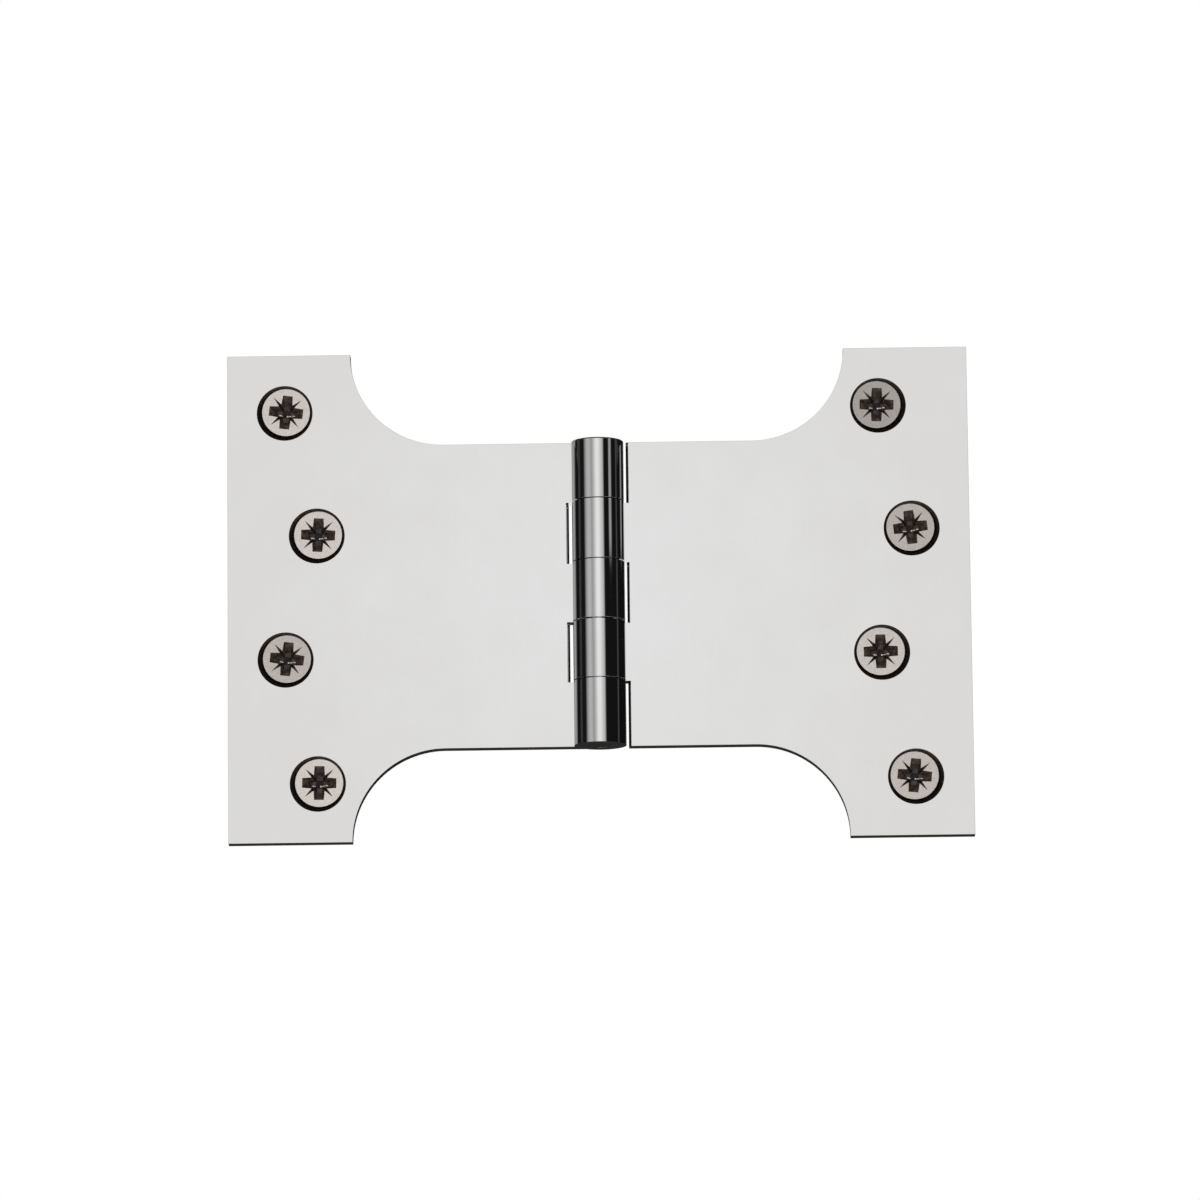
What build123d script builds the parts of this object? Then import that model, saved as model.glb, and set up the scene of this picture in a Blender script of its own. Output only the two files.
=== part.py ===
from build123d import *
import os

# Parliament hinge, lying open and flat, in millimetres.
# The pin stands along Z. The leaves lie in the XZ plane with their screw faces towards -Y.
# The frame leaf is on the -X side of the pin and the door leaf on the +X side.

# Leaf outline
HEIGHT = 101.6  # 4 in, height of the screw flanges
OPEN_WIDTH = 152.4  # 6 in, across both leaves laid flat
FLANGE_WIDTH = 25.4  # full-height strip that takes the screws
NECK_HEIGHT = 63.3  # lower part between flange and barrel
CORNER_RADIUS = 19.05  # concave corner from flange to neck
LEAF_THICKNESS = 3.5
EDGE_BREAK = 0.1  # small chamfer round the screw face; the back is ground flat and square

# Barrel
BARREL_DIAMETER = 10.7
KNUCKLE_COUNT = 5
LOWEST_KNUCKLE = 13.3  # left longer than the other four, which share the rest
KNUCKLE_GAP = 0.2  # running gap between two knuckles
KNUCKLE_BREAK = 0.1  # chamfer at each knuckle's ends
SHUT_GAP = 2.0  # room between the two screw faces when the hinge is shut
FRAME_NOTCH_GAP = 0.7  # room between the frame leaf's notches and the door leaf's knuckles
FRAME_NOTCH_BREAK = 0.45  # chamfer on those notches' front edge
DOOR_NOTCH_GAP = 0.45
DOOR_NOTCH_BREAK = 0.55

# Pin
PIN_DIAMETER = 5.5
PIN_RUNNING_GAP = 0.05  # on the radius, in the knuckles that turn
PIN_BREAK = 0.1

# Screw places on a leaf, staggered in two columns
SCREW_ROWS = 4
SCREW_END_MARGIN = 12.1  # from the leaf's end to the first row
OUTER_COLUMN = 11.85  # from the leaf's outer edge
INNER_COLUMN = 18.35
COUNTERSINK_DIAMETER = 11.5  # at the leaf's face
SCREW_HOLE_DIAMETER = 6.0

# Wood screw, number 10 by 1 1/4 in
SCREW_LENGTH = 31.8
SHANK_DIAMETER = 4.88  # also over the thread's crests
NECK_DIAMETER = 5.1  # where the head's cone ends
NECK_LENGTH = 0.61  # from there the neck tapers to the straight shank
POINT_LENGTH = 4.5
HEAD_DIAMETER = 10.0
SEAT_GAP = 0.03  # between the head's cone and the countersink
SEAT_SHIFT_X = 0.26  # each screw sits off its hole's centre, towards the pin
SEAT_SHIFT_Z = 0.25  # and upwards

# Cross recess in the head
WING_SPAN = 7.0
WING_WIDTH = 1.95
CORE_WIDTH = 3.2  # square middle of the cross
RECESS_DEPTH = 2.3
RECESS_FOOT_SPAN = 3.4  # the cross at its bottom
RECESS_FOOT_WIDTH = 1.1
RECESS_FOOT_CORE = 1.7
TICK_REACH = 4.1  # from the centre to a tick's point
TICK_WIDTH = 0.65
TICK_DEPTH = 0.16

# Turn of each cross in its head, in degrees, anticlockwise from the front, top row first
FRAME_TURNS = (-6.7, -2.7, -6.7, -1.2)
DOOR_TURNS = (-1.7, 6.3, 0.8, -5.7)

# Worked out from the sizes above, with the pin's axis as zero
FRONT_Y = SHUT_GAP / 2
BACK_Y = FRONT_Y + LEAF_THICKNESS
OUTER_X = OPEN_WIDTH / 2
BARREL_RADIUS = BARREL_DIAMETER / 2
KNUCKLE_PITCH = (NECK_HEIGHT - LOWEST_KNUCKLE) / (KNUCKLE_COUNT - 1)
SCREW_PITCH = (HEIGHT - 2 * SCREW_END_MARGIN) / (SCREW_ROWS - 1)
SEAT_SHIFT = (SEAT_SHIFT_X**2 + SEAT_SHIFT_Z**2) ** 0.5
CONCENTRIC_DEPTH = (COUNTERSINK_DIAMETER - HEAD_DIAMETER) / 2
HEAD_SINK = CONCENTRIC_DEPTH - SEAT_SHIFT - SEAT_GAP  # a shifted head rides up its cone
FRAME_SIDE = -1
DOOR_SIDE = 1
NOTCHES = {
    FRAME_SIDE: (BARREL_RADIUS + FRAME_NOTCH_GAP, FRAME_NOTCH_BREAK),
    DOOR_SIDE: (BARREL_RADIUS + DOOR_NOTCH_GAP, DOOR_NOTCH_BREAK),
}

# The part's origin is the middle of the frame leaf's flange, on its back face
PLACE = Location((OUTER_X - FLANGE_WIDTH / 2, -BACK_Y, 0))
FACE = Plane.XZ.offset(-FRONT_Y)
BACK = Plane.XZ.offset(-BACK_Y)


def leaf_outline():
    """One leaf on the +X side, seen from the front."""
    corner = min(CORNER_RADIUS, (HEIGHT - NECK_HEIGHT) / 2)
    flange_x = OUTER_X - FLANGE_WIDTH
    outline = Pos(OUTER_X, 0) * Rectangle(FLANGE_WIDTH, HEIGHT, align=(Align.MAX, Align.CENTER))
    outline += Pos(OUTER_X, 0) * Rectangle(OUTER_X, NECK_HEIGHT, align=(Align.MAX, Align.CENTER))
    web = Rectangle(corner, corner, align=(Align.MAX, Align.MIN))
    web -= Pos(-corner, corner) * Circle(corner)
    upper = Pos(flange_x, NECK_HEIGHT / 2) * web
    return outline + upper + mirror(upper, about=Plane.XZ)


def leaf_plate(notch_x, notch_break):
    """The flat of one leaf, ending in a chamfered edge beside the barrel."""
    plate = extrude(BACK * leaf_outline(), amount=LEAF_THICKNESS)
    front = plate.faces().sort_by(Axis.Y)[0]
    plate = chamfer(front.edges(), EDGE_BREAK)
    room = Box(notch_x, 4 * BACK_Y, 2 * NECK_HEIGHT, align=(Align.MIN, Align.CENTER, Align.CENTER))
    plate -= room
    notch_face = plate.faces().filter_by(Axis.X).sort_by(Axis.X)[0]
    front_edge = notch_face.edges().sort_by(Axis.Y)[0]
    return chamfer(front_edge, notch_break)


def knuckle(index, reach):
    """One knuckle of the barrel, counted from the top, with a strip that reaches into its leaf."""
    top = NECK_HEIGHT / 2 - index * KNUCKLE_PITCH
    bottom = top - KNUCKLE_PITCH + KNUCKLE_GAP / 2
    if index > 0:
        top -= KNUCKLE_GAP / 2
    if index == KNUCKLE_COUNT - 1:
        bottom = -NECK_HEIGHT / 2
    length = top - bottom
    tube = Cylinder(BARREL_RADIUS, length)
    tube = chamfer(tube.edges().filter_by(GeomType.CIRCLE), KNUCKLE_BREAK)
    strip = Pos(0, FRONT_Y, 0) * Box(
        reach, LEAF_THICKNESS, length, align=(Align.MIN, Align.MIN, Align.CENTER)
    )
    return Pos(0, 0, (top + bottom) / 2) * (tube + strip)


def screw_places(side):
    """Hole centres on one leaf, top row first: the stagger is the same after half a turn."""
    places = []
    for row in range(SCREW_ROWS):
        outer_first = side == FRAME_SIDE
        in_outer_column = (row % 2 == 0) == outer_first
        column = OUTER_COLUMN if in_outer_column else INNER_COLUMN
        z = HEIGHT / 2 - SCREW_END_MARGIN - row * SCREW_PITCH
        places.append((side * (OUTER_X - column), z))
    return places


def leaf(side, knuckles, bore_radius):
    """A whole leaf: plate, knuckles, pin bore and countersunk holes."""
    notch_x, notch_break = NOTCHES[side]
    body = leaf_plate(notch_x, notch_break)
    for index in knuckles:
        body += knuckle(index, notch_x + notch_break)
    body -= Cylinder(bore_radius, 2 * NECK_HEIGHT)
    if side == FRAME_SIDE:
        body = mirror(body, about=Plane.YZ)
    hole = CounterSinkHole(
        SCREW_HOLE_DIAMETER / 2, COUNTERSINK_DIAMETER / 2, 2 * LEAF_THICKNESS, 90
    )
    for x, z in screw_places(side):
        body -= FACE * Pos(x, z) * hole
    return body


def hinge_pin():
    """Plain pin, flush with the barrel's ends."""
    pin = Cylinder(PIN_DIAMETER / 2, NECK_HEIGHT)
    return chamfer(pin.edges().filter_by(GeomType.CIRCLE), PIN_BREAK)


def tapered_block(span, width, foot_span, foot_width):
    """Block that narrows from span by width at z = 0 down to its foot at the recess's bottom."""
    x = (span - foot_span) / 2
    z = (width - foot_width) / 2
    block = Wedge(
        span, RECESS_DEPTH, width, x, z, span - x, width - z,
        align=(Align.CENTER, Align.MIN, Align.CENTER),
    )
    return Rot(-90, 0, 0) * block


def cross_recess():
    """Tapered cross with a square middle and four ticks between its wings, cut down from z = 0."""
    core = tapered_block(CORE_WIDTH, CORE_WIDTH, RECESS_FOOT_CORE, RECESS_FOOT_CORE)
    wing = tapered_block(WING_SPAN, WING_WIDTH, RECESS_FOOT_SPAN, RECESS_FOOT_WIDTH)
    recess = core + wing + Rot(0, 0, 90) * wing
    corner = CORE_WIDTH / 2**0.5
    side = TICK_WIDTH / 2
    tick = Polygon((0, -side), (corner, -side), (TICK_REACH, 0), (corner, side), (0, side), align=None)
    tick = extrude(tick, amount=-TICK_DEPTH)
    for quarter in range(4):
        recess += Rot(0, 0, 45 + 90 * quarter) * tick
    return recess


def wood_screw():
    """Countersunk wood screw standing head up, with the top of its head at z = 0."""
    head_radius = HEAD_DIAMETER / 2
    shank_radius = SHANK_DIAMETER / 2
    neck_radius = NECK_DIAMETER / 2
    neck_z = neck_radius - head_radius
    point_z = POINT_LENGTH - SCREW_LENGTH
    half = Polyline(
        (0, 0),
        (head_radius, 0),
        (neck_radius, neck_z),
        (shank_radius, neck_z - NECK_LENGTH),
        (shank_radius, point_z),
        (0, -SCREW_LENGTH),
        close=True,
    )
    body = revolve(Plane.XZ * make_face(half), axis=Axis.Z)
    return body - cross_recess()


def screws(side, turns):
    """The four screws of one leaf, each shifted in its hole towards the pin and upwards."""
    blank = wood_screw()
    placed = []
    for (x, z), turn in zip(screw_places(side), turns):
        at = Pos(x - side * SEAT_SHIFT_X, z + SEAT_SHIFT_Z, -HEAD_SINK)
        placed.append(FACE * at * Rot(0, 0, turn) * blank)
    return placed


pieces = {
    "frame_leaf": leaf(FRAME_SIDE, range(0, KNUCKLE_COUNT, 2), PIN_DIAMETER / 2),
    "door_leaf": leaf(DOOR_SIDE, range(1, KNUCKLE_COUNT, 2), PIN_DIAMETER / 2 + PIN_RUNNING_GAP),
    "hinge_pin": hinge_pin(),
}
for number, screw in enumerate(screws(FRAME_SIDE, FRAME_TURNS), start=1):
    pieces[f"frame_screw_{number}"] = screw
for number, screw in enumerate(screws(DOOR_SIDE, DOOR_TURNS), start=1):
    pieces[f"door_screw_{number}"] = screw

os.makedirs("parts", exist_ok=True)
for name, piece in pieces.items():
    export_step(PLACE * piece, f"parts/{name}.step")
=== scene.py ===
import math

import bmesh
import bpy
from bpy.props import FloatProperty, FloatVectorProperty, PointerProperty
from mathutils import Matrix, Vector


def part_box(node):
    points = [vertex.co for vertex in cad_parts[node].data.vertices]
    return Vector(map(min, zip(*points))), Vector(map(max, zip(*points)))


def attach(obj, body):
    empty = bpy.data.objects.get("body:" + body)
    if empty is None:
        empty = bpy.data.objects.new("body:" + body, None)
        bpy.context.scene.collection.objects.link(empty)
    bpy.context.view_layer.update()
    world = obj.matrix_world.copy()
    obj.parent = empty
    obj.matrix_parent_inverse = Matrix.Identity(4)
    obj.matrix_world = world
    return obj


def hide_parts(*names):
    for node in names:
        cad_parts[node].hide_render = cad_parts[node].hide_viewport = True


bl_info = {
    "name": "Parliament Hinge",
    "version": (1, 0, 0),
    "blender": (4, 5, 0),
    "location": "3D View > Sidebar > Hinge",
    "description": "Polished chrome parliament hinge with its wood screws, in a plain pale studio",
    "category": "Object",
}

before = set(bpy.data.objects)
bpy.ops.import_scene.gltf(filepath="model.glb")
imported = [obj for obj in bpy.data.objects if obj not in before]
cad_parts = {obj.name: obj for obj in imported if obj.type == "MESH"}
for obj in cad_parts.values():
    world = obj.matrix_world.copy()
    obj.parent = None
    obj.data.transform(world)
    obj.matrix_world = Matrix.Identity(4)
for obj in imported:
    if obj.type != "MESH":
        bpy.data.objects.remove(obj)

MM = 0.001

# Places and main sizes that the frame gives, in metres
pin_low, pin_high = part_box("hinge_pin")
leaf_low, leaf_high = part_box("frame_leaf")
screw_low, screw_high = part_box("frame_screw_1")
PIN_MIDDLE = (pin_low + pin_high) / 2
PIN_RADIUS = (pin_high.x - pin_low.x) / 2
NECK_HEIGHT = pin_high.z - pin_low.z
FLANGE_HEIGHT = leaf_high.z - leaf_low.z
REACH = PIN_MIDDLE.x - leaf_low.x
BARREL_RADIUS = PIN_MIDDLE.y - leaf_low.y
HEAD_RADIUS = (screw_high.x - screw_low.x) / 2
SCREW_LENGTH = screw_high.y - screw_low.y
BACK_Y = -PIN_MIDDLE.y  # of the leaves' backs, from the pin: they lie in the plane y = 0

# How the meshes are made
MERGE = 0.0005 * MM  # points that lie this close are one
OVERRUN = 1.0 * MM  # how far a cutting tool runs past the face it cuts
STEP = 0.01 * MM  # keeps two joined faces out of one plane
ROUND_STEPS = 128  # round a knuckle, a hole or a screw
THREAD_STEPS = ROUND_STEPS // 3  # round one turn of the thread
CORNER_STEPS = 28  # round a leaf's concave corner
EASE_STEPS = 3  # across a rounded edge
SHARP_TURN = math.radians(12)  # an edge that turns by more is shaded sharp

FRAME_SIDE = -1
DOOR_SIDE = 1
# Each leaf's node, its body, and how its screws' nodes begin
LEAVES = {
    FRAME_SIDE: ("frame_leaf", "frame_side", "frame_screw_"),
    DOOR_SIDE: ("door_leaf", "door_side", "door_screw_"),
}
SCREWS_PER_LEAF = 4
# Turn of each cross in its head, in degrees, anticlockwise from the front, top row first
CROSS_TURNS = {FRAME_SIDE: (-6.7, -2.7, -6.7, -1.2), DOOR_SIDE: (-1.7, 6.3, 0.8, -5.7)}
# Painted glints, cut as bright metal at the foot of the cross: middle across and up, width and height,
# in millimetres
PAINTED_GLINT_MARKS = (
    (-1.3, -0.28, 0.4, 0.2), (-0.95, -0.36, 0.24, 0.16), (0.25, -0.38, 0.3, 0.3),
    (0.75, -0.3, 0.5, 0.16), (1.45, -0.16, 0.5, 0.18),
)
# Painted reflection: how bright each screw's head is drawn, for the different light each head gives
# back, in the same order
SCREW_PAINTED_BRIGHTNESS = {FRAME_SIDE: (1.02, 1.03, 0.81, 1.05), DOOR_SIDE: (0.64, 0.78, 0.96, 0.88)}


def linear(colour):
    """Linear red, green and blue of an sRGB hex colour."""
    parts = [int(colour[place : place + 2], 16) / 255 for place in (0, 2, 4)]
    return [p / 12.92 if p <= 0.04045 else ((p + 0.055) / 1.055) ** 2.4 for p in parts]


def length_property(name, description, millimetres):
    """A length that the sidebar shows in the scene's unit, from millimetres."""
    return FloatProperty(
        name=name, description=description, default=millimetres * MM, min=0.0,
        precision=5, subtype="DISTANCE", unit="LENGTH",
    )


def lengths_property(name, description, millimetres):
    """A row of lengths, from millimetres."""
    return FloatVectorProperty(
        name=name, description=description, default=[length * MM for length in millimetres], min=0.0,
        size=len(millimetres), precision=5, unit="LENGTH",
    )


def colour_property(name, description, colour):
    """A colour, from its sRGB hex value."""
    return FloatVectorProperty(
        name=name, description=description, default=linear(colour), min=0.0, max=1.0,
        size=3, subtype="COLOR",
    )


def angle_property(name, description, degrees):
    """An angle, from degrees."""
    return FloatProperty(
        name=name, description=description, default=math.radians(degrees), subtype="ANGLE",
    )


class LeafSizes(bpy.types.PropertyGroup):
    """Sizes of the two leaves that the frame's boxes don't give."""

    thickness: length_property("Thickness", "Of the leaf's plate", 3.5)
    flange_width: length_property("Flange width", "Full-height strip that takes the screws", 25.4)
    corner_radius: length_property("Corner radius", "Concave corner from flange to neck", 19.05)
    edge_ease: length_property("Edge ease", "Rounding round the screw face", 0.04)
    joints: lengths_property(
        "Joints", "From the barrel's top to each joint", (12.6, 25.2, 37.6, 49.9),
    )
    joint_gaps: lengths_property("Joint gaps", "Running gap at each joint", (0.2, 0.2, 0.28, 0.2))
    knuckle_ease: length_property("Knuckle ease", "Rounding at a knuckle's ends", 0.02)
    top_ease: length_property("Top ease", "Rounding of the barrel's upper rim", 0.3)
    frame_gap: length_property("Frame notch gap", "From that notch to the door's knuckle", 0.7)
    frame_break: length_property("Frame notch break", "Filed flat on its front edge", 0.55)
    door_gap: length_property("Door notch gap", "From that notch to the frame's knuckle", 0.45)
    door_break: length_property("Door notch break", "Filed flat on its front edge", 0.55)
    pin_gap: length_property("Pin gap", "On the radius, in the knuckles that turn", 0.05)
    countersink: length_property("Countersink", "Diameter at the leaf's face", 11.5)
    screw_hole: length_property("Screw hole", "Diameter through the leaf", 6.0)


class ScrewSizes(bpy.types.PropertyGroup):
    """Sizes of one wood screw and of its seat in a countersink."""

    shank: length_property("Shank", "Diameter, and over the thread's crests", 4.88)
    thread_core: length_property("Thread core", "Diameter between the thread's ridges", 3.3)
    thread_top: length_property("Thread top", "From the head's face to the thread", 10.0)
    pitch: length_property("Pitch", "From one turn of the thread to the next", 2.3)
    ridge_foot: length_property("Ridge foot", "Width of the thread's ridge at its foot", 0.95)
    ridge_crest: length_property("Ridge crest", "Width of the thread's ridge at its crest", 0.14)
    point: length_property("Point", "Length of the tapered point", 6.5)
    rim_ease: length_property("Rim ease", "Rounding of the head's rim", 0.12)
    seat_shift_x: length_property("Seat shift in", "Off the hole's centre, towards the pin", 0.26)
    seat_shift_z: length_property("Seat shift up", "Off the hole's centre, upwards", 0.25)
    recess_depth: length_property("Recess depth", "Of the cross in the head", 2.3)
    core_width: length_property("Cross core", "Side of the cross's square middle", 3.2)
    wing_reach: length_property("Wing reach", "From the centre to a wing's end", 3.5)
    wing_root: length_property("Wing root", "Width of a wing at the middle", 2.55)
    wing_end: length_property("Wing end", "Width of a wing at its end", 2.0)
    tick_reach: length_property("Tick reach", "From the centre to a tick's point", 4.1)
    tick_width: length_property("Tick width", "Of a tick beside the cross", 0.65)
    tick_depth: length_property("Tick depth", "Of the four ticks between the wings", 0.16)
    # Painted highlight: how far past the cross's foot the glints' bright patches are cut
    mark_depth: length_property("Driver mark depth", "Of the marks in the foot of the cross", 0.04)
    foot_share: FloatProperty(
        name="Foot share", description="How narrow the cross is at its bottom", default=0.5,
        min=0.1, max=1.0,
    )
    tick_foot_share: FloatProperty(
        name="Tick foot share", description="How narrow a tick is at its bottom", default=0.2,
        min=0.1, max=1.0,
    )
    point_curve: FloatProperty(
        name="Point curve", description="1 is a straight cone and less a fuller point", default=0.75,
        min=0.3,
    )


class FinishColours(bpy.types.PropertyGroup):
    """Colours and gloss of the metals and of their oxide."""

    # Painted reflection: the plate is drawn brighter round the barrel and dimmer, warmer out on the
    # flanges
    chrome: colour_property("Chrome", "Bright plate round the barrel", "e1e1e1")
    chrome_flange_painted_reflection: colour_property("Chrome flange", "Warmer plate out on the flanges", "dad9d7")
    # Painted shade: the seat under each head is drawn dark for the shaded gap round the head
    countersink: colour_property("Countersink", "Tarnished seat under a screw head", "3e3430")
    countersink_light: colour_property("Countersink glint", "Barer metal in the seat", "6c6059")
    steel: colour_property("Steel", "The pin", "d0d0ce")
    screw: colour_property("Screw", "Nickel plate on the screws", "d4cbc4")
    screw_light: colour_property("Screw grain", "Lighter grain in the nickel", "efe7e1")
    # Painted shade: core, wings and ticks are drawn dark partly for their oxide and partly for the
    # shade in the cross, the deep core darkest
    core: colour_property("Cross core", "Thick oxide in the middle of the cross", "14100e")
    core_light: colour_property("Cross core glint", "Thinner oxide there", "2c2522")
    wing: colour_property("Cross wings", "Oxide in the cross's wings", "352a27")
    wing_light: colour_property("Cross wing glint", "Thinner oxide there", "6e5d57")
    # Painted highlight: bright metal drawn where glints fall at the foot of the cross
    mark: colour_property("Driver mark", "Metal that a driver rubbed bare", "c4bab3")
    glint_light: colour_property("Driver mark glint", "Brighter metal there", "f4eee9")
    tick: colour_property("Tick", "Thin oxide in the ticks beside the cross", "4f4843")
    tick_light: colour_property("Tick glint", "Bare metal in the ticks", "716a64")
    chrome_roughness: FloatProperty(
        name="Chrome roughness", description="0 is a mirror", default=0.02, min=0.0, max=1.0,
    )
    screw_roughness: FloatProperty(
        name="Screw roughness", description="Satin nickel", default=0.36, min=0.0, max=1.0,
    )


class StudioSettings(bpy.types.PropertyGroup):
    """The camera, measured from the pin's middle, and the level of the lights."""

    distance: length_property("Camera distance", "From the pin's middle", 1660.0)
    azimuth: angle_property("Camera azimuth", "0 looks along +Y, and positive is towards +X", 0.77)
    elevation: angle_property("Camera elevation", "Below zero looks up", -10.4)
    roll: angle_property("Camera roll", "Positive shows the right side higher", 0.624)
    lens: FloatProperty(name="Lens", description="Focal length in mm", default=243.0)
    aim_x: length_property("Aim across", "Of the picture's centre, from the pin's middle", 0.22)
    aim_down: length_property("Aim down", "Of the picture's centre, from the pin's middle", 1.45)
    floor_drop: length_property("Floor drop", "From the pin's middle to the floor", 300.0)
    floor_radius: length_property("Floor radius", "Of the round floor", 600.0)
    floor: colour_property("Floor", "Pale matt floor", "f2f2f0")
    daylight: FloatProperty(name="Daylight", description="Plain light from all round", default=0.8)
    ceiling: FloatProperty(name="Ceiling", description="Dim ceiling that metal mirrors", default=0.09)
    lamp_width: length_property("Lamp width", "Of the round soft lamp above", 1200.0)
    lamp_height: length_property("Lamp height", "Above the pin's middle", 1300.0)
    lamp_power: FloatProperty(name="Lamp power", description="In watts", default=8.0)


# A Mix node's sockets are numbered: 0 is the share, 2 and 3 are two numbers and 6 and 7 two colours,
# and its output 0 is the mixed number and output 2 the mixed colour
def add_node(tree, kind, sockets=None, stops=(), **settings):
    """Adds one node, sets it up, fills or links the sockets that are named or numbered, and sets a
    colour ramp's stops, each a place from 0 to 1 and a colour."""
    made = tree.nodes.new(kind)
    for name, value in settings.items():
        setattr(made, name, value)
    for socket, value in (sockets or {}).items():
        if isinstance(value, bpy.types.NodeSocket):
            tree.links.new(value, made.inputs[socket])
        else:
            made.inputs[socket].default_value = value
    if stops:
        elements = made.color_ramp.elements
        for place, colour in stops[len(elements):]:
            elements.new(place)
        for element, (place, colour) in zip(elements, stops):
            element.position = place
            element.color = (*colour, 1)
    return made


def new_material(name):
    """An empty material: each finish fills in its own nodes."""
    material = bpy.data.materials.new(name)
    material.use_nodes = True
    material.node_tree.nodes.clear()
    return material


def grain(tree, across, along, detail=3.0):
    """Noise whose grain has the sizes given in millimetres, across the object and along its height."""
    place = add_node(tree, "ShaderNodeTexCoord")
    scale = [1 / (size * MM) for size in (across, across, along)]
    scaled = add_node(
        tree, "ShaderNodeMapping", {"Vector": place.outputs["Object"], "Scale": scale},
    )
    noise = add_node(
        tree, "ShaderNodeTexNoise",
        {"Vector": scaled.outputs["Vector"], "Scale": 1.0, "Detail": detail, "Roughness": 0.6},
    )
    return noise.outputs["Fac"]


def fading_ball(tree, middle, radius):
    """1 at a point, and less and less out to 0 at a radius round it."""
    place = add_node(tree, "ShaderNodeTexCoord")
    centred = add_node(
        tree, "ShaderNodeMapping",
        {
            "Vector": place.outputs["Object"],
            "Scale": [1 / radius] * 3,
            "Location": [-part / radius for part in middle],
        },
    )
    ball = add_node(
        tree, "ShaderNodeTexGradient", {"Vector": centred.outputs["Vector"]}, gradient_type="SPHERICAL",
    )
    return ball.outputs["Fac"]


def finish_metal(material, colour, roughness, height, depth, bare=1.0):
    """A metal's shader: its colour, its gloss, a relief of the given depth in millimetres, and how
    bare the metal is: 1 is clean, and 0 is all oxide."""
    tree = material.node_tree
    relief = add_node(
        tree, "ShaderNodeBump", {"Height": height, "Distance": depth * MM, "Strength": 1.0},
    )
    shader = add_node(
        tree, "ShaderNodeBsdfPrincipled",
        {
            "Base Color": colour,
            "Metallic": bare,
            "Roughness": roughness,
            "Normal": relief.outputs["Normal"],
        },
    )
    add_node(tree, "ShaderNodeOutputMaterial", {"Surface": shader.outputs["BSDF"]})
    return material


def polished_chrome(finish):
    """Chrome plate on brass, buffed up and down on a wheel: a mirror with faint upright streaks, a
    little cloudy. Its colour carries a painted reflection: brighter and cooler round the barrel,
    dimmer and warmer out on the flanges. The streaks are drawn coarser than a wheel leaves them,
    or they wouldn't show."""
    material = new_material("polished_chrome")
    tree = material.node_tree
    # Painted reflection: the tone runs from the bright chrome at the pin out to the dimmer flange
    # colour
    near = fading_ball(tree, PIN_MIDDLE, REACH)
    cloud = grain(tree, across=12, along=12)
    streaks = grain(tree, across=0.5, along=30)
    cloud_share = 0.5
    streak_share = 0.15
    patchy = add_node(tree, "ShaderNodeMix", {0: cloud_share, 2: near, 3: cloud})
    buffed = add_node(tree, "ShaderNodeMix", {0: streak_share, 2: patchy.outputs[0], 3: streaks})
    tone = add_node(
        tree, "ShaderNodeValToRGB", {"Fac": buffed.outputs[0]},
        stops=((0.3, finish.chrome_flange_painted_reflection), (0.7, finish.chrome)),
    )
    swell = grain(tree, across=9, along=16, detail=1.0)
    return finish_metal(
        material, tone.outputs["Color"], finish.chrome_roughness, height=swell, depth=0.004,
    )


def painted_shade_seat(finish):
    """Machined seat under each screw head, drawn as a dark, dull ring: painted shade of the gap round
    the head.
    """
    material = new_material("painted_shade_seat")
    tree = material.node_tree
    turned = grain(tree, across=0.5, along=0.5)
    tone = add_node(
        tree, "ShaderNodeValToRGB", {"Fac": turned},
        stops=((0.45, finish.countersink), (0.9, finish.countersink_light)),
    )
    return finish_metal(material, tone.outputs["Color"], roughness=0.6, height=turned, depth=0.01)


def ground_steel(finish):
    """Ground and polished steel: a mirror with fine rings, its ends buffed flush with the barrel's.
    The rings are drawn coarser than a grinder leaves them, or they wouldn't show."""
    material = new_material("ground_steel")
    tree = material.node_tree
    rings = grain(tree, across=4, along=0.15)
    groove_shade = 0.94
    groove = [groove_shade * part for part in finish.steel]
    tone = add_node(
        tree, "ShaderNodeValToRGB", {"Fac": rings}, stops=((0.35, groove), (0.65, finish.steel)),
    )
    return finish_metal(
        material, tone.outputs["Color"], finish.chrome_roughness, height=rings, depth=0.0005,
    )


def satin_nickel(finish):
    """Nickel plate over a tumbled steel screw: warm grey and finely grained, each screw drawn lighter
    or darker as a painted reflection.
    The grain is drawn as coarse as it has to be to show."""
    material = new_material("satin_nickel")
    tree = material.node_tree
    tumbled = grain(tree, across=0.22, along=0.22, detail=4.0)
    tone = add_node(
        tree, "ShaderNodeValToRGB", {"Fac": tumbled},
        stops=((0.35, finish.screw), (0.65, finish.screw_light)),
    )
    # Painted reflection: each screw's own brightness, multiplied into its colour
    shade = add_node(tree, "ShaderNodeAttribute", attribute_name="shade")
    shaded = add_node(
        tree, "ShaderNodeMix", {0: 1.0, 6: tone.outputs["Color"], 7: shade.outputs["Fac"]},
        data_type="RGBA", blend_type="MULTIPLY",
    )
    return finish_metal(
        material, shaded.outputs[2], finish.screw_roughness, height=tumbled, depth=0.006,
    )


def oxide(name, dark, light, roughness, bare):
    """Oxide and oil left by the punch, drawn darker as painted shade in the deep cross: thick and dull
    in its core and wings, and a dark film on bare metal in the ticks. Bright bare metal here paints
    the glints at the cross's foot."""
    material = new_material(name)
    tree = material.node_tree
    punched = grain(tree, across=0.8, along=0.8, detail=2.0)
    tone = add_node(
        tree, "ShaderNodeValToRGB", {"Fac": punched}, stops=((0.4, dark), (0.75, light)),
    )
    return finish_metal(
        material, tone.outputs["Color"], roughness, height=punched, depth=0.04, bare=bare,
    )


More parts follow.
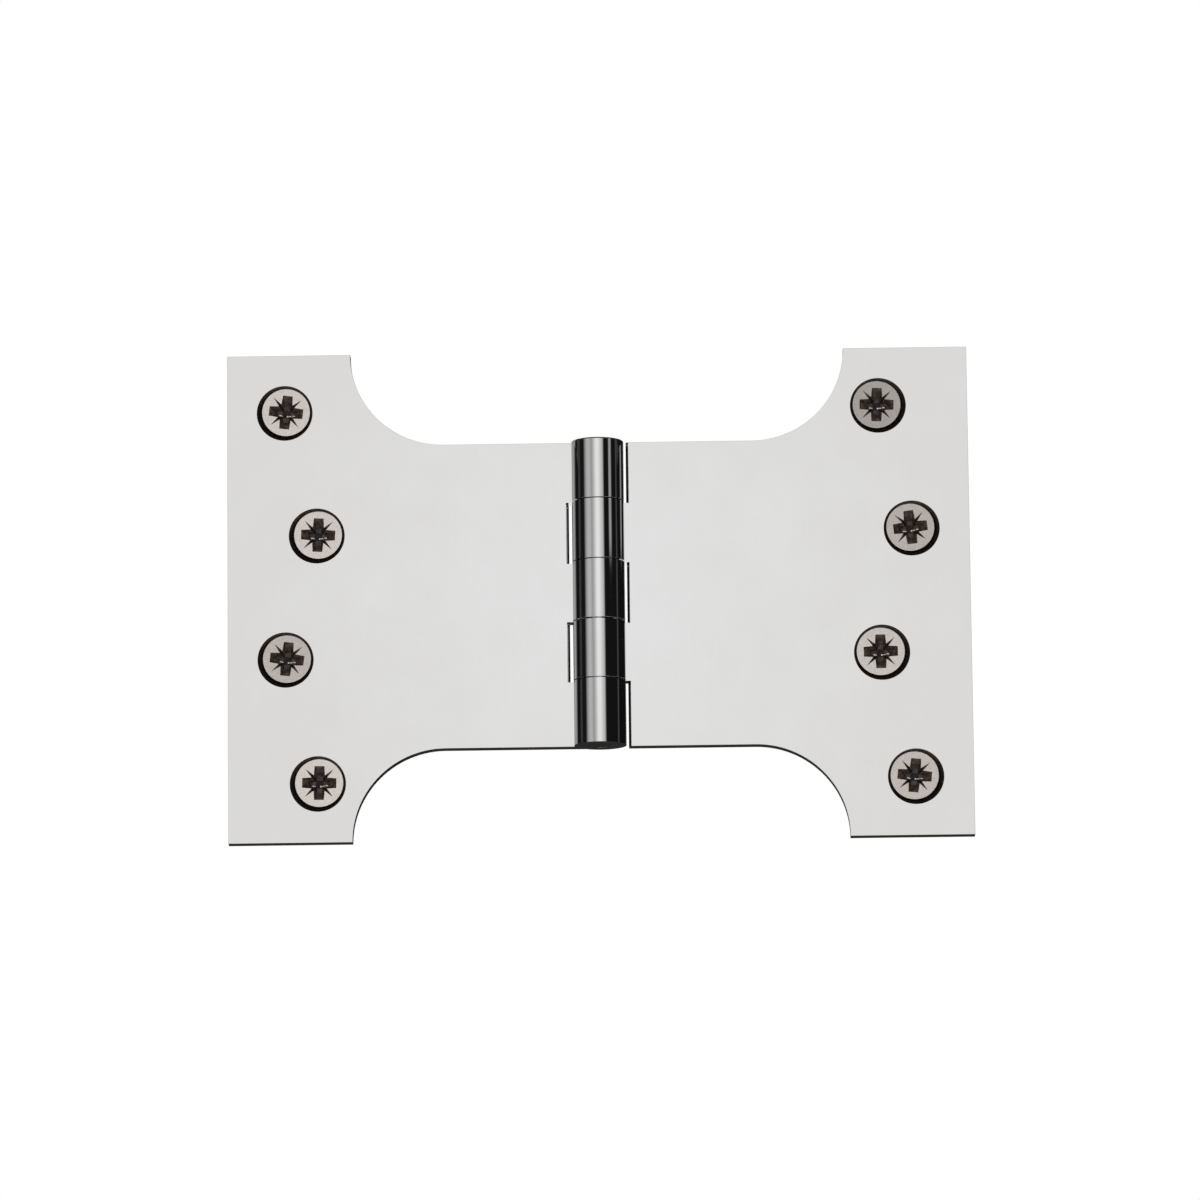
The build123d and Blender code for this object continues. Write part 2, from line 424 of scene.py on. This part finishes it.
def matt_floor(stage, middle):
    """Painted board, pale and matt: it takes a soft shadow and no shine, fades out towards its rim,
    and is clear from below."""
    material = new_material("matt_paint")
    tree = material.node_tree
    roller = grain(tree, across=2, along=2)
    dimple_shade = 0.99
    dimple = [dimple_shade * part for part in stage.floor]
    tone = add_node(
        tree, "ShaderNodeValToRGB", {"Fac": roller}, stops=((0.35, dimple), (0.65, stage.floor)),
    )
    paint = add_node(
        tree, "ShaderNodeBsdfDiffuse", {"Color": tone.outputs["Color"], "Roughness": 0.5},
    )
    near = fading_ball(tree, middle, stage.floor_radius)
    fading_share = 0.5  # of the radius, next to the rim
    fade = add_node(
        tree, "ShaderNodeMapRange", {"Value": near, "From Min": 0.0, "From Max": fading_share},
        interpolation_type="SMOOTHSTEP",
    )
    side = add_node(tree, "ShaderNodeNewGeometry")
    cover = add_node(
        tree, "ShaderNodeMix", {0: side.outputs["Backfacing"], 2: fade.outputs["Result"], 3: 0.0},
    )
    clear = add_node(tree, "ShaderNodeBsdfTransparent")
    shader = add_node(
        tree, "ShaderNodeMixShader",
        {0: cover.outputs[0], 1: clear.outputs["BSDF"], 2: paint.outputs["BSDF"]},
    )
    add_node(tree, "ShaderNodeOutputMaterial", {"Surface": shader.outputs["Shader"]})
    return material


def loose_object(name, bm, material):
    """An object from a bmesh, which is used up."""
    mesh = bpy.data.meshes.new(name)
    bm.to_mesh(mesh)
    bm.free()
    mesh.materials.append(material)
    made = bpy.data.objects.new(name, mesh)
    bpy.context.scene.collection.objects.link(made)
    return made


def carve(target, tool, operation):
    """Joins the tool to the target or cuts it away, and takes the tool off the bench."""
    change = target.modifiers.new("carve", "BOOLEAN")
    change.operation = operation
    change.solver = "MANIFOLD"
    change.material_mode = "TRANSFER"
    change.object = tool
    depsgraph = bpy.context.evaluated_depsgraph_get()
    shaped = bpy.data.meshes.new_from_object(target.evaluated_get(depsgraph))
    target.modifiers.clear()
    spent = [target.data, tool.data]
    target.data = shaped
    bpy.data.objects.remove(tool)
    for mesh in spent:
        bpy.data.meshes.remove(mesh)


def seat_piece(piece, node, body):
    """Cleans the mesh, shades its round walls smooth, and fixes it to its body in the frame."""
    bm = bmesh.new()
    bm.from_mesh(piece.data)
    bmesh.ops.remove_doubles(bm, verts=bm.verts, dist=MERGE)
    bmesh.ops.dissolve_degenerate(bm, edges=bm.edges, dist=MERGE)
    bmesh.ops.recalc_face_normals(bm, faces=bm.faces)
    for face in bm.faces:
        face.smooth = True
    for edge in bm.edges:
        edge.smooth = edge.is_manifold and edge.calc_face_angle() < SHARP_TURN
    bm.to_mesh(piece.data)
    bm.free()
    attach(piece, body)
    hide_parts(node)


def round_edges(bm, edges, width):
    """Rounds edges over by a width."""
    bmesh.ops.bevel(
        bm, geom=edges, offset=width, offset_type="OFFSET", segments=EASE_STEPS, profile=0.5,
        affect="EDGES", material=-1, clamp_overlap=True,
    )


def rod(radius, length, low_ease=0.0, high_ease=0.0):
    """A round bar along Z, with its lower and its upper rim rounded where an ease is given."""
    bm = bmesh.new()
    bmesh.ops.create_cone(
        bm, cap_ends=True, segments=ROUND_STEPS, radius1=radius, radius2=radius, depth=length,
    )
    for end, ease in ((-1, low_ease), (1, high_ease)):
        if ease > 0:
            close = length / 2 - MERGE
            rim = [edge for edge in bm.edges if all(vert.co.z * end > close for vert in edge.verts)]
            round_edges(bm, rim, ease)
    return bm


def lathe(outline, steps):
    """A solid turned round Z from (radius, height) points that start and end on the axis."""
    bm = bmesh.new()
    points = [bm.verts.new((radius, 0, height)) for radius, height in outline]
    edges = [bm.edges.new(pair) for pair in zip(points, points[1:])]
    bmesh.ops.spin(
        bm, geom=points + edges, cent=(0, 0, 0), axis=(0, 0, 1), angle=2 * math.pi, steps=steps,
        use_merge=True,
    )
    bmesh.ops.remove_doubles(bm, verts=bm.verts, dist=MERGE)
    bmesh.ops.recalc_face_normals(bm, faces=bm.faces)
    return bm


def prism(points, vector):
    """A solid drawn along a vector from one flat face."""
    bm = bmesh.new()
    face = bm.faces.new([bm.verts.new(point) for point in points])
    drawn = bmesh.ops.extrude_face_region(bm, geom=[face])
    moved = [part for part in drawn["geom"] if isinstance(part, bmesh.types.BMVert)]
    bmesh.ops.translate(bm, vec=vector, verts=moved)
    bmesh.ops.recalc_face_normals(bm, faces=bm.faces)
    return bm


def leaf_blank(sizes):
    """The plate of a leaf on the +X side, from the pin's axis out, with its front rim rounded."""
    front = BACK_Y - sizes.thickness
    neck = NECK_HEIGHT / 2
    top = FLANGE_HEIGHT / 2
    flange_x = REACH - sizes.flange_width
    radius = sizes.corner_radius
    bm = bmesh.new()
    turn_in = bm.verts.new((flange_x - radius, front, neck))
    bmesh.ops.spin(
        bm, geom=[turn_in], cent=(flange_x - radius, front, neck + radius), axis=(0, -1, 0),
        angle=math.pi / 2, steps=CORNER_STEPS,
    )
    turn_out = max(bm.verts, key=lambda vert: vert.co.z)
    straight = [(flange_x, front, top), (REACH, front, top), (REACH, front, 0)]
    outer = [turn_out] + [bm.verts.new(point) for point in straight]
    inner = [bm.verts.new((0, front, 0)), bm.verts.new((0, front, neck)), turn_in]
    for chain in (outer, inner):
        for pair in zip(chain, chain[1:]):
            bm.edges.new(pair)
    bmesh.ops.remove_doubles(bm, verts=bm.verts, dist=MERGE)
    half = bm.verts[:] + bm.edges[:]
    bmesh.ops.mirror(bm, geom=half, matrix=Matrix.Identity(4), merge_dist=MERGE, axis="Z")
    face = bmesh.ops.contextual_create(bm, geom=bm.edges[:])["faces"][0]
    drawn = bmesh.ops.extrude_face_region(bm, geom=[face])
    moved = [part for part in drawn["geom"] if isinstance(part, bmesh.types.BMVert)]
    bmesh.ops.translate(bm, vec=(0, sizes.thickness, 0), verts=moved)
    bmesh.ops.recalc_face_normals(bm, faces=bm.faces)
    rim = [edge for edge in bm.edges if all(vert.co.y < front + MERGE for vert in edge.verts)]
    round_edges(bm, rim, sizes.edge_ease)
    return bm


def knuckle_span(index, sizes, share):
    """Lower and upper end of a knuckle's place, counted from the top, grown by a share of its gaps."""
    joints = (0, *sizes.joints, NECK_HEIGHT)
    gaps = (0, *sizes.joint_gaps, 0)
    upper = NECK_HEIGHT / 2 - joints[index] + share * gaps[index]
    lower = NECK_HEIGHT / 2 - joints[index + 1] - share * gaps[index + 1]
    return lower, upper


def notch_tool(index, sizes, gap, filed):
    """What clears a leaf for one knuckle of the other, with the filed flat on the front edge."""
    low, high = knuckle_span(index, sizes, share=0.5)
    if index == 0:
        high += OVERRUN
    if index == len(sizes.joints):
        low -= OVERRUN
    front = BACK_Y - sizes.thickness
    wall = BARREL_RADIUS + gap
    flare = wall + filed + OVERRUN
    corners = (
        (-OVERRUN, front - OVERRUN),
        (flare, front - OVERRUN),
        (wall, front + filed),
        (wall, BACK_Y + OVERRUN),
        (-OVERRUN, BACK_Y + OVERRUN),
    )
    return prism([(x, y, low) for x, y in corners], (0, 0, high - low))


def knuckle_bar(index, sizes):
    """One knuckle as a solid bar: the bore comes later. Its ends stand a step inside its joints, and
    a step past the leaf's edge at the barrel's ends."""
    low, high = knuckle_span(index, sizes, share=-0.5)
    low_ease = sizes.knuckle_ease
    high_ease = sizes.knuckle_ease
    if index == 0:
        high += 2 * STEP
        high_ease = sizes.top_ease
    if index == len(sizes.joints):
        low -= 2 * STEP
        low_ease = 0
    bm = rod(BARREL_RADIUS, high - low - 2 * STEP, low_ease, high_ease)
    bmesh.ops.translate(bm, vec=(0, 0, (low + high) / 2), verts=bm.verts)
    return bm


def countersink_tool(sizes):
    """Cone and hole for one screw, along -Z from the leaf's face at z = 0."""
    wide = sizes.countersink / 2
    narrow = sizes.screw_hole / 2
    outline = (
        (0, OVERRUN),
        (wide + OVERRUN, OVERRUN),
        (narrow, narrow - wide),
        (narrow, -sizes.thickness - OVERRUN),
        (0, -sizes.thickness - OVERRUN),
    )
    return lathe(outline, ROUND_STEPS)


def screw_place(node):
    """The middle of a screw's head, on its face, in the frame."""
    low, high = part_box(node)
    return Vector(((low.x + high.x) / 2, low.y, (low.z + high.z) / 2))


def facing_front(point, turn=0.0):
    """Stands a piece made along Z on a point of the leaf, with its top to the front."""
    lie = Matrix.Rotation(math.pi / 2, 4, "X")
    return Matrix.Translation(point) @ lie @ Matrix.Rotation(turn, 4, "Z")


def build_leaf(side, sizes, seats, chrome, seat_metal):
    """One leaf: plate, notches, knuckles, pin bore and countersunk holes."""
    node, body, screws = LEAVES[side]
    leaf = loose_object(f"{node}_chrome", leaf_blank(sizes), chrome)
    first = 0 if side == FRAME_SIDE else 1
    notches = {
        FRAME_SIDE: (sizes.frame_gap, sizes.frame_break),
        DOOR_SIDE: (sizes.door_gap, sizes.door_break),
    }
    gap, filed = notches[side]
    knuckles = len(sizes.joints) + 1
    for index in range(1 - first, knuckles, 2):
        tool = notch_tool(index, sizes, gap, filed)
        carve(leaf, loose_object("notch", tool, chrome), "DIFFERENCE")
    for index in range(first, knuckles, 2):
        carve(leaf, loose_object("knuckle", knuckle_bar(index, sizes), chrome), "UNION")
    bore = PIN_RADIUS + (0 if side == FRAME_SIDE else sizes.pin_gap)
    carve(leaf, loose_object("bore", rod(bore, 2 * NECK_HEIGHT), chrome), "DIFFERENCE")
    if side == FRAME_SIDE:
        leaf.data.transform(Matrix.Scale(-1, 4, (1, 0, 0)))
        leaf.data.flip_normals()
    leaf.data.transform(Matrix.Translation(PIN_MIDDLE))
    for number in range(1, SCREWS_PER_LEAF + 1):
        head = screw_place(f"{screws}{number}")
        hole_x = head.x + side * seats.seat_shift_x
        hole_z = head.z - seats.seat_shift_z
        hole = Vector((hole_x, -sizes.thickness, hole_z))
        tool = countersink_tool(sizes)
        bmesh.ops.transform(tool, matrix=facing_front(hole), verts=tool.verts)
        carve(leaf, loose_object("countersink", tool, seat_metal), "DIFFERENCE")
    seat_piece(leaf, node, body)


def thread_ridge(sizes):
    """The thread's ridge, wound down the shank as one closed coil whose foot is sunk in its core."""
    sunk = 2 * sizes.ridge_crest
    inner = sizes.thread_core / 2 - sunk
    outer = sizes.shank / 2
    foot = sizes.ridge_foot / 2
    crest = sizes.ridge_crest / 2
    top = -sizes.thread_top
    turns = int((SCREW_LENGTH - sizes.thread_top) / sizes.pitch)
    corners = ((inner, top - foot), (outer, top - crest), (outer, top + crest), (inner, top + foot))
    bm = bmesh.new()
    face = bm.faces.new([bm.verts.new((radius, 0, height)) for radius, height in corners])
    profile = [face, *face.edges, *face.verts]
    bmesh.ops.spin(
        bm, geom=profile, cent=(0, 0, 0), axis=(0, 0, 1), dvec=(0, 0, -sizes.pitch / THREAD_STEPS),
        angle=2 * math.pi * turns, steps=THREAD_STEPS * turns,
    )
    bmesh.ops.recalc_face_normals(bm, faces=bm.faces)
    return bm


def punch(plan, depth, foot_length=1.0, foot_width=1.0, degrees=0):
    """One tooth of the cross's punch, from its plan at z = 0 down to a foot drawn in by two shares,
    and turned about Z. Above its plan it runs straight up."""
    tooth = prism([(x, y, 0) for x, y in plan], (0, 0, -depth))
    tip = [vert for vert in tooth.verts if vert.co.z < -MERGE]
    bmesh.ops.scale(tooth, vec=(foot_length, foot_width, 1), verts=tip)
    top = [face for face in tooth.faces if all(vert.co.z > -MERGE for vert in face.verts)]
    raised = bmesh.ops.extrude_face_region(tooth, geom=top)
    moved = [part for part in raised["geom"] if isinstance(part, bmesh.types.BMVert)]
    bmesh.ops.translate(tooth, vec=(0, 0, OVERRUN), verts=moved)
    bmesh.ops.delete(tooth, geom=top, context="FACES_ONLY")
    turn = Matrix.Rotation(math.radians(degrees), 3, "Z")
    bmesh.ops.rotate(tooth, cent=(0, 0, 0), matrix=turn, verts=tooth.verts)
    return tooth


def wing_teeth(sizes):
    """The punch for the four wings of the cross, a step less deep than its core."""
    share = sizes.foot_share
    root = sizes.wing_root / 2
    end = sizes.wing_end / 2
    wing = ((0, -root), (sizes.wing_reach, -end), (sizes.wing_reach, end), (0, root))
    depth = sizes.recess_depth - STEP
    return [punch(wing, depth, share, share, degrees=90 * quarter) for quarter in range(4)]


def core_tooth(sizes):
    """The punch for the square core of the cross."""
    share = sizes.foot_share
    side = sizes.core_width / 2
    square = ((-side, -side), (side, -side), (side, side), (-side, side))
    return [punch(square, sizes.recess_depth, share, share)]


def tick_teeth(sizes):
    """The punch for the four shallow ticks between the wings."""
    half = sizes.tick_width / 2
    corner = sizes.core_width / 2**0.5 - half
    tick = ((corner, -half), (sizes.tick_reach, 0), (corner, half))
    return [
        punch(tick, sizes.tick_depth, foot_width=sizes.tick_foot_share, degrees=90 * quarter + 45)
        for quarter in range(4)
    ]


def glint_teeth(sizes):
    """What cuts patches of bright metal at the foot of the cross, as painted glints."""
    marks = []
    for x, y, width, height in PAINTED_GLINT_MARKS:
        left, right = (x - width / 2) * MM, (x + width / 2) * MM
        low, high = (y - height / 2) * MM, (y + height / 2) * MM
        plan = ((left, low), (right, low), (right, high), (left, high))
        marks.append(punch(plan, sizes.recess_depth + sizes.mark_depth))
    return marks


def cut_cross(screw, sizes, finish):
    """Cuts the cross and its ticks in the head, each kind of tooth with its own oxide and painted
    shade, and then the painted glints as patches of bright metal."""
    # Painted shade: each kind of tooth's oxide is drawn dark for the shade in it as well, the deep core
    # darkest
    rubbed = oxide("tick_oxide_and_shade", finish.tick, finish.tick_light, roughness=0.5, bare=1.0)
    wing = oxide("wing_oxide_and_shade", finish.wing, finish.wing_light, roughness=0.5, bare=0.0)
    core = oxide("core_oxide_and_shade", finish.core, finish.core_light, roughness=0.7, bare=0.0)
    # Painted highlight: the glints' bright metal
    glint_metal = oxide("painted_glint_steel", finish.mark, finish.glint_light, roughness=0.3, bare=1.0)
    punches = (
        (tick_teeth(sizes), rubbed),
        (wing_teeth(sizes), wing),
        (core_tooth(sizes), core),
        (glint_teeth(sizes), glint_metal),
    )
    for teeth, metal in punches:
        for tooth in teeth:
            carve(screw, loose_object("tooth", tooth, metal), "DIFFERENCE")


def taper_point(screw, sizes):
    """Draws core and thread in to the gimlet point."""
    taper_top = sizes.point - SCREW_LENGTH
    for vert in screw.data.vertices:
        if vert.co.z < taper_top:
            share = (vert.co.z + SCREW_LENGTH) / sizes.point
            vert.co.xy *= max(share, 0.0) ** sizes.point_curve
            vert.co.z = max(vert.co.z, -SCREW_LENGTH)


def screw_blank(sizes, finish):
    """One wood screw standing head up, its face at z = 0: head, shank, thread, point and cross."""
    shank = sizes.shank / 2
    core = sizes.thread_core / 2
    run_out = sizes.thread_top + 2 * (shank - core)  # a taper twice as long as it is deep
    outline = (
        (0, 0),
        (HEAD_RADIUS, 0),
        (shank, shank - HEAD_RADIUS),
        (shank, -sizes.thread_top),
        (core, -run_out),
        (core, -SCREW_LENGTH),
        (0, -SCREW_LENGTH),
    )
    body = lathe(outline, ROUND_STEPS)
    rim = [
        edge for edge in body.edges
        if all(vert.co.z > -MERGE and vert.co.xy.length > HEAD_RADIUS - MERGE for vert in edge.verts)
    ]
    round_edges(body, rim, sizes.rim_ease)
    nickel = satin_nickel(finish)
    screw = loose_object("screw_blank", body, nickel)
    carve(screw, loose_object("thread", thread_ridge(sizes), nickel), "UNION")
    cut_cross(screw, sizes, finish)
    taper_point(screw, sizes)
    return screw


class HINGE_OT_leaves(bpy.types.Operator):
    """Builds the frame leaf and the door leaf in polished chrome"""

    bl_idname = "hinge.leaves"
    bl_label = "Build leaves"

    def execute(self, context):
        scene = context.scene
        chrome = polished_chrome(scene.hinge_finish)
        seat_metal = painted_shade_seat(scene.hinge_finish)
        for side in LEAVES:
            build_leaf(side, scene.hinge_leaf, scene.hinge_screw, chrome, seat_metal)
        return {"FINISHED"}


class HINGE_OT_pin(bpy.types.Operator):
    """Builds the plain steel pin, flush with the barrel's ends"""

    bl_idname = "hinge.pin"
    bl_label = "Build pin"

    def execute(self, context):
        steel = ground_steel(context.scene.hinge_finish)
        pin = loose_object("hinge_pin_steel", rod(PIN_RADIUS, NECK_HEIGHT), steel)
        pin.data.transform(Matrix.Translation(PIN_MIDDLE))
        seat_piece(pin, "hinge_pin", "frame_side")
        return {"FINISHED"}


class HINGE_OT_screws(bpy.types.Operator):
    """Builds the eight wood screws and turns each into its hole"""

    bl_idname = "hinge.screws"
    bl_label = "Build screws"

    def execute(self, context):
        blank = screw_blank(context.scene.hinge_screw, context.scene.hinge_finish)
        for side in LEAVES:
            body, screws = LEAVES[side][1:]
            looks = zip(CROSS_TURNS[side], SCREW_PAINTED_BRIGHTNESS[side])
            for number, (turn, shade) in enumerate(looks, start=1):
                node = f"{screws}{number}"
                screw = bpy.data.objects.new(f"{node}_nickel", blank.data.copy())
                context.scene.collection.objects.link(screw)
                screw.data.transform(facing_front(screw_place(node), math.radians(turn)))
                # Painted reflection: how bright this screw's head is drawn
                layer = screw.data.attributes.new("shade", "FLOAT", "POINT")
                layer.data.foreach_set("value", [shade] * len(screw.data.vertices))
                seat_piece(screw, node, body)
        spent = blank.data
        bpy.data.objects.remove(blank)
        bpy.data.meshes.remove(spent)
        return {"FINISHED"}


# Light panels round the object: compass angle in degrees, 0 in front and 90 at the right, and level
EYE_LEVEL_PANELS = (
    (-180, 0.026), (-168, 0.026), (-160, 0.34), (-119, 0.34), (-114, 0.01), (-95, 0.01), (-91, 0.06),
    (-86, 0.05), (-82, 0.01), (-64, 0.01), (-59, 0.2), (-52, 0.45), (-42, 0.59), (-34, 0.52),
    (-26, 0.39), (-17, 0.62), (-7, 1.0), (4, 1.0), (13, 0.74), (20, 0.62), (24, 0.4), (28, 0.03),
    (31, 0.008), (85, 0.008), (88, 0.07), (92, 0.07), (95, 0.008), (168, 0.008), (180, 0.026),
)
LOW_PANELS = (
    (-180, 1.0), (-140, 1.0), (-125, 0.1), (-70, 0.1), (-45, 1.0),
    (45, 1.0), (60, 0.08), (125, 0.08), (140, 1.0), (180, 1.0),
)
# Narrow light high at the right
STRIP_PANELS = ((-180, 0.0), (48, 0.0), (53, 0.4), (59, 0.38), (65, 0.0), (180, 0.0))
# White board low behind, which the upper ends of the notches mirror
BACK_PANELS = ((-180, 1.0), (-140, 1.0), (-130, 0.0), (130, 0.0), (140, 1.0), (180, 1.0))


def compass_light(tree, compass, panels):
    """Brightness by compass angle, from a row of panels."""
    stops = [((angle + 180) / 360, [level] * 3) for angle, level in panels]
    ramp = add_node(tree, "ShaderNodeValToRGB", {"Fac": compass}, stops=stops)
    return ramp.outputs["Color"]


def compass_angle(tree, way):
    """0 to 1 once round the horizon, from a split direction, with 0.5 in front."""
    forward = add_node(tree, "ShaderNodeMath", {0: way.outputs["Y"], 1: -1.0}, operation="MULTIPLY")
    angle = add_node(
        tree, "ShaderNodeMath", {0: way.outputs["X"], 1: forward.outputs[0]}, operation="ARCTAN2",
    )
    compass = add_node(
        tree, "ShaderNodeMapRange",
        {"Value": angle.outputs[0], "From Min": -math.pi, "From Max": math.pi},
    )
    return compass.outputs["Result"]


def panel_light(tree, ceiling):
    """What metal mirrors: panels round the object, in bands one above the other."""
    direction = add_node(tree, "ShaderNodeTexCoord")
    way = add_node(tree, "ShaderNodeSeparateXYZ", {"Vector": direction.outputs["Generated"]})
    compass = compass_angle(tree, way)
    # What takes over between two heights, in degrees above the horizon, and how it is laid on
    bands = (
        (compass_light(tree, compass, EYE_LEVEL_PANELS), -18, -14, "MIX"),
        (compass_light(tree, compass, STRIP_PANELS), 10.6, 10.85, "LIGHTEN"),
        (compass_light(tree, compass, BACK_PANELS), -10.35, -10.5, "LIGHTEN"),
        ([ceiling] * 3 + [1], 28, 40, "MIX"),
    )
    level = compass_light(tree, compass, LOW_PANELS)
    for light, start, end, blend in bands:
        rise = add_node(
            tree, "ShaderNodeMapRange",
            {
                "Value": way.outputs["Z"],
                "From Min": math.sin(math.radians(start)),
                "From Max": math.sin(math.radians(end)),
            },
            interpolation_type="SMOOTHSTEP",
        )
        mixed = add_node(
            tree, "ShaderNodeMix", {0: rise.outputs["Result"], 6: level, 7: light},
            data_type="RGBA", blend_type=blend,
        )
        level = mixed.outputs[2]
    return level


class HINGE_OT_stage(bpy.types.Operator):
    """Sets up the floor, the soft light and the camera"""

    bl_idname = "hinge.stage"
    bl_label = "Set up studio"

    def execute(self, context):
        stage = context.scene.hinge_studio
        self.lay_floor(stage)
        self.light_world(context.scene, stage)
        self.hang_lamp(context.scene, stage)
        self.place_camera(context.scene, stage)
        context.scene.view_settings.view_transform = "Standard"
        return {"FINISHED"}

    def lay_floor(self, stage):
        """A round floor under the middle of the pin."""
        bm = bmesh.new()
        bmesh.ops.create_circle(bm, cap_ends=True, segments=ROUND_STEPS, radius=stage.floor_radius)
        under = Vector((PIN_MIDDLE.x, PIN_MIDDLE.y, -stage.floor_drop))
        bmesh.ops.translate(bm, vec=under, verts=bm.verts)
        floor = loose_object("floor", bm, matt_floor(stage, under))

    def light_world(self, scene, stage):
        """The camera sees plain white, matt surfaces get even daylight, and metal mirrors panels."""
        world = bpy.data.worlds.new("studio_light")
        world.use_nodes = True
        scene.world = world
        tree = world.node_tree
        tree.nodes.clear()
        mirrored = panel_light(tree, stage.ceiling)
        daylight = [stage.daylight] * 3 + [1]
        white = (1, 1, 1, 1)
        rays = add_node(tree, "ShaderNodeLightPath")
        matt = add_node(
            tree, "ShaderNodeMix", {0: rays.outputs["Is Diffuse Ray"], 6: mirrored, 7: daylight},
            data_type="RGBA",
        )
        seen = add_node(
            tree, "ShaderNodeMix", {0: rays.outputs["Is Camera Ray"], 6: matt.outputs[2], 7: white},
            data_type="RGBA",
        )
        light = add_node(tree, "ShaderNodeBackground", {"Color": seen.outputs[2], "Strength": 1.0})
        add_node(tree, "ShaderNodeOutputWorld", {"Surface": light.outputs["Background"]})

    def hang_lamp(self, scene, stage):
        """One wide soft lamp straight above, for the floor's shadow: metal doesn't mirror it."""
        data = bpy.data.lights.new("overhead", "AREA")
        data.shape = "DISK"
        data.size = stage.lamp_width
        data.energy = stage.lamp_power
        lamp = bpy.data.objects.new("overhead", data)
        lamp.location = PIN_MIDDLE + Vector((0, 0, stage.lamp_height))
        lamp.visible_camera = False
        lamp.visible_glossy = False
        scene.collection.objects.link(lamp)

    def place_camera(self, scene, stage):
        """A long lens in front of the hinge and a little below it."""
        data = bpy.data.cameras.new("camera")
        data.lens = stage.lens
        data.sensor_width = 36.0
        data.clip_start = 0.05
        data.clip_end = 20.0
        camera = bpy.data.objects.new("camera", data)
        scene.collection.objects.link(camera)
        across = math.cos(stage.elevation)
        view = Vector((
            -math.sin(stage.azimuth) * across,
            math.cos(stage.azimuth) * across,
            -math.sin(stage.elevation),
        ))
        aim = PIN_MIDDLE + Vector((stage.aim_x, 0, -stage.aim_down))
        level = view.to_track_quat("-Z", "Y")
        roll = Matrix.Rotation(-stage.roll, 3, "Z").to_quaternion()
        camera.rotation_mode = "QUATERNION"
        camera.rotation_quaternion = level @ roll
        camera.location = aim - stage.distance * view
        scene.camera = camera


class HINGE_PT_build(bpy.types.Panel):
    """Lists the hinge's pieces and the studio in the sidebar"""

    bl_idname = "HINGE_PT_build"
    bl_label = "Parliament hinge"
    bl_space_type = "VIEW_3D"
    bl_region_type = "UI"
    bl_category = "Hinge"

    def draw(self, context):
        for operator in OPERATORS:
            self.layout.operator(operator.bl_idname)
        for name in SETTINGS:
            group = getattr(context.scene, name)
            box = self.layout.box()
            for key in group.__annotations__:
                box.prop(group, key)


OPERATORS = (HINGE_OT_leaves, HINGE_OT_pin, HINGE_OT_screws, HINGE_OT_stage)
SETTINGS = {
    "hinge_leaf": LeafSizes,
    "hinge_screw": ScrewSizes,
    "hinge_finish": FinishColours,
    "hinge_studio": StudioSettings,
}
CLASSES = (*SETTINGS.values(), *OPERATORS, HINGE_PT_build)


def register():
    """Registers every class and hangs the settings on the scene."""
    for made in CLASSES:
        bpy.utils.register_class(made)
    for name, group in SETTINGS.items():
        setattr(bpy.types.Scene, name, PointerProperty(type=group))


def unregister():
    """Takes the settings and the classes away again."""
    for name in SETTINGS:
        delattr(bpy.types.Scene, name)
    for made in reversed(CLASSES):
        bpy.utils.unregister_class(made)


def main():
    """Builds the whole hinge and its studio."""
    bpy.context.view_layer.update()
    register()
    bpy.ops.hinge.leaves()
    bpy.ops.hinge.pin()
    bpy.ops.hinge.screws()
    bpy.ops.hinge.stage()


if __name__ == "__main__":
    main()
